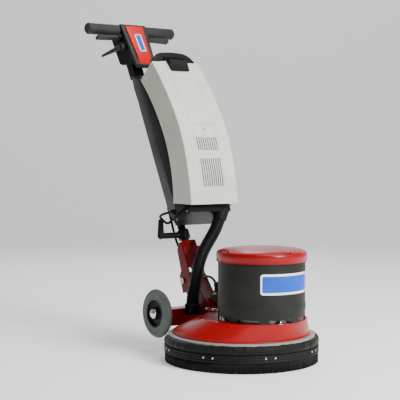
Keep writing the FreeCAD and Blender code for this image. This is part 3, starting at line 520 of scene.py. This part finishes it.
joint_turn = radians(first_rivet_deg)


def on_band(u, v, w):
    r = band_out / 1000 + w
    turn = joint_turn + u / r
    return Vector((r * cos(turn), r * sin(turn), (band_low + band_high) / 2000 + v))


joint = patch("band_joint", 0.0022, 0.0225, 0.001, 0.0006, on_band, band_rubber, "deck", 6)


# Bristle strip and brush: fine black nylon below the band, and tufts of grey nylon punched into
# a plastic block under the machine. Nylon filaments shine along their length.
def filaments(name, deep, pale):
    material, tree, shader = start_material(name, {"Roughness": 0.5, "Specular IOR Level": 0.15})
    place = add(tree, "TexCoord").outputs["Object"]
    stretched = add(tree, "Mapping", {"Scale": (1.0, 1.0, 0.05)}, {"Vector": place})
    strand = add(tree, "TexNoise", {"Scale": per_metre(1.2), "Detail": 2.0},
                 {"Vector": stretched.outputs["Vector"]})
    tone = add(tree, "ValToRGB", links={"Fac": strand.outputs["Fac"]})
    tone.color_ramp.elements[0].position, tone.color_ramp.elements[1].position = 0.35, 0.65
    tone.color_ramp.elements[0].color, tone.color_ramp.elements[1].color = linear(deep), linear(pale)
    tree.links.new(shader.inputs["Base Color"], tone.outputs["Color"])
    bump = add(tree, "Bump", {"Strength": 0.8, "Distance": 0.0004}, {"Height": strand.outputs["Fac"]})
    tree.links.new(shader.inputs["Normal"], bump.outputs["Normal"])
    return material


def tufts(name, roots, tip_drop, root_r, tip_r, material, body, sides=5):
    """Tapered tufts that hang from their roots; each leans and splays by a seeded amount."""
    chance = random.Random(7)
    corners, faces = [], []
    for x, y, z in roots:
        sway = [chance.uniform(-1, 1) for _ in range(3)]
        tip = (x + 1.1 * sway[0], y + 1.1 * sway[1], z - tip_drop + 0.35 * (1 + sway[2]))
        start = len(corners)
        for (cx, cy, cz), r in (((x, y, z), root_r), (tip, tip_r)):
            for k in range(sides):
                turn = 2 * pi * k / sides + sway[2]
                corners.append(((cx + r * cos(turn)) / 1000, (cy + r * sin(turn)) / 1000, cz / 1000))
        for k in range(sides):
            n = (k + 1) % sides
            faces.append((start + k, start + sides + k, start + sides + n, start + n))
        faces.append(tuple(start + k for k in range(sides)))
        faces.append(tuple(start + sides + k for k in reversed(range(sides))))
    made = new_piece(name, corners, faces, material)
    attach(made, body)
    return made


strip_nylon = filaments("black_nylon_strip", "060606", "161615")
strip_out, strip_low, strip_high = turned_frame("skirt_bristles", 0.0)
strip_roots = []
for row, r in enumerate((strip_out - 1.6, strip_out - 3.4, strip_out - 5.2)):
    count = 520
    for i in range(count):
        turn = 2 * pi * (i + row / 3) / count
        strip_roots.append((r * cos(turn), r * sin(turn), strip_high + 2))
strip = tufts("bristle_strip", strip_roots, strip_high + 2 - strip_low, 1.5, 1.2, strip_nylon, "deck")
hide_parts("skirt_bristles")

brush_nylon = filaments("grey_nylon_tufts", "2B3440", "566478")
brush_out, brush_low, brush_high = turned_frame("brush_bristles", 0.0)
tuft_pitch, first_ring = 13.0, 78.0
brush_roots = []
r = first_ring
while r < brush_out - 5:
    count = int(2 * pi * r / tuft_pitch)
    for i in range(count):
        turn = 2 * pi * i / count + r
        brush_roots.append((r * cos(turn), r * sin(turn), brush_high))
    r += tuft_pitch
brush = tufts("brush_tufts", brush_roots, brush_high - brush_low, 3.4, 4.4, brush_nylon, "brush", 8)
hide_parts("brush_bristles")
block_grey = moulded("foamed_polypropylene_block", "3F464B", "4F575D", 0.5, 1.2, 0.08)
finish_node(block_grey, 2.0, "brush_block")


# Gear train, motor and bearings: cast aluminium case and frame, ground steel shafts and gears,
# laminated steel cores with lacquered windings. Machined steel carries fine turning marks.
def metal(name, deep, pale, roughness, mark_mm, relief_mm, stretch=(1.0, 1.0, 1.0)):
    material, tree, shader = start_material(name, {"Metallic": 1.0})
    place = add(tree, "TexCoord").outputs["Object"]
    aligned = add(tree, "Mapping", {"Scale": stretch}, {"Vector": place})
    marks = add(tree, "TexNoise", {"Scale": per_metre(mark_mm), "Detail": 4.0},
                {"Vector": aligned.outputs["Vector"]})
    tone = add(tree, "ValToRGB", links={"Fac": marks.outputs["Fac"]})
    tone.color_ramp.elements[0].position, tone.color_ramp.elements[1].position = 0.35, 0.65
    tone.color_ramp.elements[0].color, tone.color_ramp.elements[1].color = linear(deep), linear(pale)
    tree.links.new(shader.inputs["Base Color"], tone.outputs["Color"])
    shine = add(tree, "MapRange", {"To Min": roughness - 0.07, "To Max": roughness + 0.07},
                {"Value": marks.outputs["Fac"]})
    tree.links.new(shader.inputs["Roughness"], shine.outputs["Result"])
    bump = add(tree, "Bump", {"Strength": 0.5, "Distance": relief_mm / 1000},
               {"Height": marks.outputs["Fac"]})
    tree.links.new(shader.inputs["Normal"], bump.outputs["Normal"])
    return material


cast_alloy = metal("sand_cast_aluminium", "7E8082", "A7A9AA", 0.55, 2.2, 0.25)
ground_steel = metal("ground_steel", "8C8E90", "B9BBBC", 0.3, 1.0, 0.03, (1.0, 1.0, 12.0))
laminated = metal("laminated_core", "4A3A30", "7A6152", 0.5, 0.8, 0.15, (0.2, 0.2, 6.0))
finish_node(cast_alloy, 0.8, "gearbox_case", "motor_frame", "drive_plate")
finish_node(ground_steel, 0.2, "rotor_shaft", "bearings", "idler_gear", "output_gear")
finish_node(laminated, 0.3, "motor_stator", "rotor_core")
fan_black = moulded("glass_filled_nylon_fan", "121313", "1E1F1F", 0.5, 0.9, 0.06)
finish_node(fan_black, 0.4, "cooling_fan")

# Motor cover: dark grey ABS sleeve with a proud band and castellated foot, moulded with a fine
# spark grain. A blank blue and white vinyl label wraps round its front.
cover_grey = moulded("grained_grey_abs_cover", "1D1E1C", "262724", 0.46, 0.8, 0.05)
finish_node(cover_grey, 0.7, "motor_cover")
motor_low, motor_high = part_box("motor_cover")
motor_x = (motor_low.x + motor_high.x) / 2
motor_r = 0.130
label_z, label_w, label_h = 0.2535, 0.184, 0.060


def on_motor(u, v, w):
    r = motor_r + w
    turn = u / motor_r
    return Vector((motor_x + r * cos(turn), r * sin(turn), label_z + v))


# Printed vinyl: a smooth film with slight print mottle, white border under a blue field.
border_white = moulded("white_vinyl_film", "E6E8E8", "F2F3F3", 0.3, 4.0, 0.01)
field_blue = moulded("blue_vinyl_print", "1149B4", "1B57C4", 0.32, 3.0, 0.01)
motor_border = patch("motor_label_border", label_w, label_h, 0.009, 0.0004, on_motor, border_white, "deck")
motor_field = patch("motor_label_field", label_w - 0.011, label_h - 0.013, 0.006, 0.0007, on_motor,
                    field_blue, "deck")

chrome = metal("plated_chrome", "C9CBCC", "E4E6E7", 0.12, 6.0, 0.004)

# Frame bolts: plated studs with washers on the deck, seen through the gaps in the cover's foot.
# They hold the motor's frame down and are as bright as the hub caps.
stud = [(0, -0.5), (8.6, -0.5), (8.6, 1.6), (6.4, 1.7), (6.4, 6.2), (5.4, 7.4), (3.0, 7.6),
        (2.8, 9.6), (0, 9.8)]
first_gap_deg, stud_ring = -12.5, 0.1195
for k in range(4):
    turn = radians(first_gap_deg + 90 * k)
    at = Vector((motor_x + stud_ring * cos(turn), stud_ring * sin(turn), motor_low.z + 0.0005))
    bolt = lathe(f"frame_bolt_{k}", stud, Matrix.Translation(at), chrome, "deck", 24)

# Motor lid: red gloss ABS, crowned, with a soft shoulder and four counterbores for its screws.
# The crown reflects the room; the screws are plain steel socket heads, each in a near-black ring
# that paints the shade of its counterbore.
lid_red = enamel("gloss_red_abs_lid", "7E0106", "900309", 0.28, 5.0)
lid_low, lid_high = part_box("motor_lid")
lid_r = (lid_high.x - lid_low.x) * 500
lid_z0, lid_z1 = lid_low.z * 1000, lid_high.z * 1000
crown, wall = 11.0, 3.0
shoulder = lid_z1 - crown
lid_outline = [(lid_r - wall, lid_z0), (lid_r, lid_z0), (lid_r, shoulder - 9), (lid_r - 0.9, shoulder - 5),
               (lid_r - 3.6, shoulder - 1.8), (lid_r - 8, shoulder)]
lid_outline += [(lid_r * k / 8, shoulder + crown * (1 - (k / 8) ** 2) ** 0.8) for k in range(7, 0, -1)]
lid_outline += [(0, lid_z1)]
lid_outline += [(0, lid_z1 - wall), (lid_r * 0.6, shoulder + 4), (lid_r - 9, shoulder - wall),
                (lid_r - wall, shoulder - 8)]


def turned_shell(name, outline, place, material, body, sides):
    """A turned piece whose outline touches the axis twice, outside and inside."""
    split = [i for i, point in enumerate(outline) if point[0] < 1e-6]
    ring = outline[split[1]:] + outline[:split[0] + 1]
    return lathe(name, ring, place, material, body, sides)


lid = turned_shell("crowned_lid", lid_outline, Matrix.Translation((motor_x, 0, 0)), lid_red, "deck", 160)
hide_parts("motor_lid")
screw_count, screw_ring = 4, lid_r - 16
# Near-black rings round the lid screws: painted shade in the counterbores of the red lid.
well_painted_shade = moulded("shadowed_counterbore", "0F0A0A", "1B1010", 0.7, 1.0, 0.05)
screw_head = [(0, 0.2), (1.7, 0.2), (1.8, 1.6), (4.3, 1.6), (4.8, 1.1), (4.8, -1.0), (0, -1.0)]
well_rim = [(5.2, -2.0), (9.0, -2.0), (8.6, 0.7), (7.9, 1.1), (6.6, 0.5), (5.4, -0.6)]
for k in range(screw_count):
    turn = k * 2 * pi / screw_count
    at = Vector((motor_x + screw_ring / 1000 * cos(turn), screw_ring / 1000 * sin(turn),
                 (shoulder + 1.6) / 1000))
    rim = lathe(f"lid_screw_rim_{k}", well_rim, Matrix.Translation(at), well_painted_shade, "deck", 32)
    screw = lathe(f"lid_screw_{k}", screw_head[::-1], Matrix.Translation(at), plated_steel, "deck", 24)
    if k == 0:
        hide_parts("lid_screws")

# Cable gland: black nylon elbow on the motor cover, a brass hexagon nut and a ribbed strain
# relief that tapers onto the cable. Turned brass is bright with fine rings.
gland_black = moulded("black_nylon_gland", "090A0A", "141515", 0.4, 0.8, 0.04)
brass = metal("turned_brass", "A8853A", "D2B063", 0.28, 1.0, 0.03, (1.0, 1.0, 10.0))
finish_node(gland_black, 1.5, "cable_gland")
finish_node(brass, 0.6, "gland_nut")
gland_at = Vector(cable_route[-1])
relief_outline = [(cable_r * 1000 + 0.1, 6)]
for i in range(6):
    r = 6.4 + 0.45 * (5 - i)
    relief_outline += [(r, 4 - i * 4.4), (r + 0.4, 2.2 - i * 4.4), (r - 0.9, 1.2 - i * 4.4)]
relief_outline += [(9.4, -25), (cable_r * 1000 + 0.1, -25)]
relief = lathe("strain_relief_ribs", relief_outline[::-1], Matrix.Translation(gland_at), gland_black,
               "deck", 36)

# Wheel bracket and axle: folded red sheet behind the deck, with a plain steel axle through it.
# The sheet has the housing's enamel; the axle is ground bright.
finish_node(deck_red, 2.0, "axle_bracket")
finish_node(ground_steel, 0.6, "wheel_axle")

# Wheels: grey non-marking rubber tyres with a stepped sidewall on black nylon hubs, each with a
# domed chrome cap. The rubber is matte; the hub is slightly glossy; the cap mirrors the room.
tyre_grey = moulded("grey_non_marking_rubber", "555B58", "676D69", 0.58, 1.4, 0.08)
hub_black = moulded("black_nylon_hub", "060606", "0E0F0F", 0.4, 0.9, 0.05)
for side, name in ((1, "left"), (-1, "right")):
    body = "wheel_" + name
    low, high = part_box("tyre_" + name)
    tyre_r, wide = (high.z - low.z) * 500, (high.y - low.y) * 1000
    centre = Vector(((low.x + high.x) / 2, high.y if side > 0 else low.y, (low.z + high.z) / 2))
    hub_low, hub_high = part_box("hub_" + name)
    hub_r = (hub_high.z - hub_low.z) * 500
    place = axis_frame(centre, (0, side, 0))
    face = [(hub_r, -1), (hub_r + 1.5, 0.2), (hub_r + 5.5, 0.2), (hub_r + 7, -1.2), (hub_r + 13, -1.2),
            (hub_r + 15.5, 0), (tyre_r - 12, 0), (tyre_r - 9.5, -1.6), (tyre_r - 5.5, -3),
            (tyre_r - 2.2, -6.2), (tyre_r - 0.4, -10.5)]
    back = [(r, -wide - h) for r, h in reversed(face)]
    tyre_outline = [*face, (tyre_r, -wide / 2), *back]
    tyre = lathe("grey_tyre_" + name, tyre_outline[::-1], place, tyre_grey, body, 128, 0.6)
    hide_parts("tyre_" + name)
    bore = 10.3
    dish = [(bore, -3), (17, -1.3), (18.6, -2.2), (20.5, -8), (24, -9.5), (hub_r - 8, -9),
            (hub_r - 5.5, -7), (hub_r - 4, -1.4), (hub_r - 2.8, -0.4), (hub_r - 0.1, -1.0)]
    hub_outline = [*dish, *[(r, -wide - h) for r, h in reversed(dish)]]
    hub = lathe("dished_hub_" + name, hub_outline[::-1], place, hub_black, body, 96, 0.5)
    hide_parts("hub_" + name)
    cap_low, cap_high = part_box("hub_cap_" + name)
    cap_rise = abs((cap_high.y if side > 0 else cap_low.y) - centre.y) * 1000
    cap_r, rim_h = 16, 1.5
    cap_outline = [(0, -2.7), (11, -2.7), (15.6, -1.6), (cap_r, -0.8), (cap_r, rim_h)]
    cap_outline += [(cap_r * cos(radians(t)), rim_h + (cap_rise - rim_h) * sin(radians(t)))
                    for t in range(8, 89, 10)]
    cap = lathe("domed_cap_" + name, [*cap_outline, (0, cap_rise)], place, chrome, body, 48)
    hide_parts("hub_cap_" + name)

# Hose socket: black rubber cuff on the deck that grips the hose's end. It is moulded soft, so it
# is duller than the hose.
socket_low, socket_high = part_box("hose_socket")
socket_r = (socket_high.x - socket_low.x) * 500
socket_mid = (socket_low + socket_high) / 2
z0, z1 = socket_low.z * 1000, socket_high.z * 1000
cuff_black = moulded("moulded_rubber_cuff", "070808", "101111", 0.5, 0.8, 0.04)
socket = lathe("deck_cuff", [(17, z0), (socket_r + 1.2, z0), (socket_r + 1.2, z0 + 4), (socket_r, z0 + 5.5),
                             (socket_r, z1 - 8), (socket_r + 0.9, z1 - 7), (socket_r + 0.9, z1 - 1.5),
                             (socket_r - 0.5, z1), (20.5, z1), (20.3, z0 + 8), (17, z0 + 7)][::-1],
               Matrix.Translation((socket_mid.x, socket_mid.y, 0)), cuff_black, "deck", 64, 0.4)
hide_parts("hose_socket")

# Tilt fork and handle channel: laser-cut and folded steel in the same red enamel, joined by one
# plated pin. Their red is painted darker than the deck's, as painted shade. The fork is screwed
# down with plated screws, and the channel carries black screws.
# A darker copy of the deck's red enamel: painted shade on the fork and the channel.
fork_red_painted_shade = enamel("red_enamel_painted_shade", "660206", "780409", 0.34)
finish_node(fork_red_painted_shade, 1.0, "tilt_fork", "handle_channel")
finish_node(plated_steel, 0.8, "fork_bolts", "pivot_pin")
bolt_black = moulded("blackened_screw", "101010", "2A2B2B", 0.4, 0.8, 0.03)
finish_node(bolt_black, 0.6, "channel_bolts")

# Pole and cord hook: powder-coated steel tube, and a moulded nylon hook clamped round it. The
# coat is a fine even black; the hook shines a little more.
pole_black = moulded("black_powder_coat", "0A0B0B", "131414", 0.42, 0.7, 0.05)
hook_black = moulded("moulded_nylon_hook", "070808", "111212", 0.4, 0.9, 0.05)
finish_node(pole_black, 0.5, "pole_tube")
finish_node(hook_black, 1.2, "cord_hook")

# Suction unit: two light grey ABS covers over a black casing, a filter bag and a vacuum motor.
# Textured ABS is satin; the casing's lower tray is smoother and catches a grey sheen.
cover_pale = moulded("textured_light_grey_abs", "C0C0B5", "CBCBC1", 0.5, 1.1, 0.05)
casing_black = moulded("satin_black_abs_casing", "0B0E0D", "121615", 0.42, 1.0, 0.04)
finish_node(cover_pale, 0.8, "vac_upper_cover", "vac_lower_cover")
finish_node(casing_black, 1.2, "vac_shell_upper", "vac_shell_lower")
finish_node(hook_black, 1.0, "vac_brackets")
finish_node(cast_alloy, 1.5, "vac_motor")
finish_node(cuff_black, 0.8, "hose_cuff")
bag_felt = woven("needled_filter_felt", "A79F8E", "C8C0AE", 1.6)
finish_node(bag_felt, 6.0, "filter_bag")
finish_node(hook_black, 3.0, "carry_handle", "vac_latch")

# Details of the suction unit: near-black sheets behind the grilles that paint the shade inside them,
# thin dark strips that paint the shadow in fine panel grooves on both covers, a lock barrel, small
# screws in the tray and a gland on the lead.
pivot, lean = Vector((-0.267, 0.0, 0.217)), radians(27.76)


def leaned(a, y, h):
    """A place given in millimetres in front of the pivot, to its left and up the pole."""
    a, y, h = a / 1000, y / 1000, h / 1000
    return pivot + Vector((a * cos(lean) - h * sin(lean), y, a * sin(lean) + h * cos(lean)))


def bow(low, middle, high, h):
    """How far forward the arc through three (forward, height) points stands at a height."""
    (ax, ay), (bx, by), (cx, cy) = low, middle, high
    d = 2 * (ax * (by - cy) + bx * (cy - ay) + cx * (ay - by))
    sa, sb, sc = ax * ax + ay * ay, bx * bx + by * by, cx * cx + cy * cy
    ux = (sa * (by - cy) + sb * (cy - ay) + sc * (ay - by)) / d
    uy = (sa * (cx - bx) + sb * (ax - cx) + sc * (bx - ax)) / d
    return ux + ((ax - ux) ** 2 + (ay - uy) ** 2 - (h - uy) ** 2) ** 0.5


lower_bow = ((236, 162), (275, 285), (292, 415))
upper_bow = ((292, 415), (280.5, 540), (252, 669))
# Near-black sheets 7 mm behind the lower cover's grilles: painted shade for the dark inside of the unit.
grille_painted_shade = moulded("grille_painted_shade_sheet", "040404", "0B0B0B", 0.8, 2.0, 0.3)
groove_shade = moulded("cover_groove_shadow", "83847A", "919288", 0.6, 2.0, 0.02)
for name, middle, tall in (("lower_screen", 258, 96), ("upper_screen", 350, 52)):
    screen = patch(name, 0.090, tall / 1000, 0.004, 0.001, lambda u, v, w, m=middle: leaned(
        bow(*lower_bow, m + v * 1000) - 7 + w * 1000, u * 1000, m + v * 1000), grille_painted_shade, "handle", 10)
for name, arc, low_h, high_h, body in (("lower_groove", lower_bow, 196, 396, "handle"),
                                       ("upper_groove", upper_bow, 436, 640, "filter_door")):
    middle = (low_h + high_h) / 2
    for side in (-47, 47):
        groove = patch(f"{name}_{'r' if side < 0 else 'l'}", 0.0009, (high_h - low_h) / 1000, 0.0003,
                       0.00012, lambda u, v, w, m=middle, c=arc, y=side: leaned(
                           bow(*c, m + v * 1000 - (0.6 if c is upper_bow else 0)) + w * 1000 + 0.05,
                           y + u * 1000, m + v * 1000), groove_shade, body, 4)
barrel = lathe("lock_barrel", [(0, -2), (4.7, -2), (4.7, 0.7), (4.0, 1.3), (1.4, 1.3), (1.2, 0.2), (0, 0.2)],
               axis_frame(leaned(bow(*lower_bow, 399), 0, 399), leaned(1, 0, 0) - leaned(0, 0, 0)),
               plated_steel, "handle", 28)
for k, (a, h) in enumerate(((128, 162), (190, 162), (128, 184))):
    screw = lathe(f"tray_screw_{k}", [(0, -0.4), (3.2, -0.4), (3.0, 0.8), (1.6, 1.5), (0, 1.7)],
                  axis_frame(leaned(a, -80 if h < 172 else -83, h), (0, -1, 0)), plated_steel, "handle", 18)
lead_way = Vector(lead_route[1]) - Vector(lead_route[0])
lead_gland = lathe("lead_gland", [(4.3, -8), (8.2, -8), (8.2, 1), (7.4, 3), (6.6, 9), (5.4, 11), (4.3, 11)],
                   axis_frame(Vector(lead_route[0]) + lead_way * 0.75, lead_way), gland_black, "handle", 28)

# Head: black moulded housing, dark grey bevelled surround and a glossy red cover. A blank blue
# and white label lies along the cover.
head_black = moulded("black_abs_head", "0B0B0B", "151615", 0.42, 1.0, 0.05)
surround_grey = moulded("grained_grey_abs_head", "252624", "31322F", 0.46, 0.9, 0.05)
head_red = enamel("gloss_red_abs_cover", "B00208", "C0040B", 0.25, 5.0)
finish_node(head_black, 1.5, "head_housing")
finish_node(surround_grey, 1.5, "head_frame", "handle_grips")
finish_node(head_red, 4.0, "head_cover")
finish_node(surround_grey, 1.2, "switch_lever_left", "switch_lever_right", "release_lever")
finish_node(head_red, 1.0, "safety_button")


label_mid_h, label_side = 842, 3
front_top_h, front_foot_h, front_at_top, front_slope = 912, 790, 94.8, 9.4


def on_head(u, v, w):
    h = label_mid_h + v * 1000
    share = (front_top_h - h) / (front_top_h - front_foot_h)
    return leaned(front_at_top + share * front_slope + w * 1000, label_side + u * 1000, h)


head_border = patch("head_label_border", 0.025, 0.072, 0.006, 0.0004, on_head, border_white, "handle", 16)
head_field = patch("head_label_field", 0.018, 0.065, 0.004, 0.0007, on_head, field_blue, "handle", 16)

low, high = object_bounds()
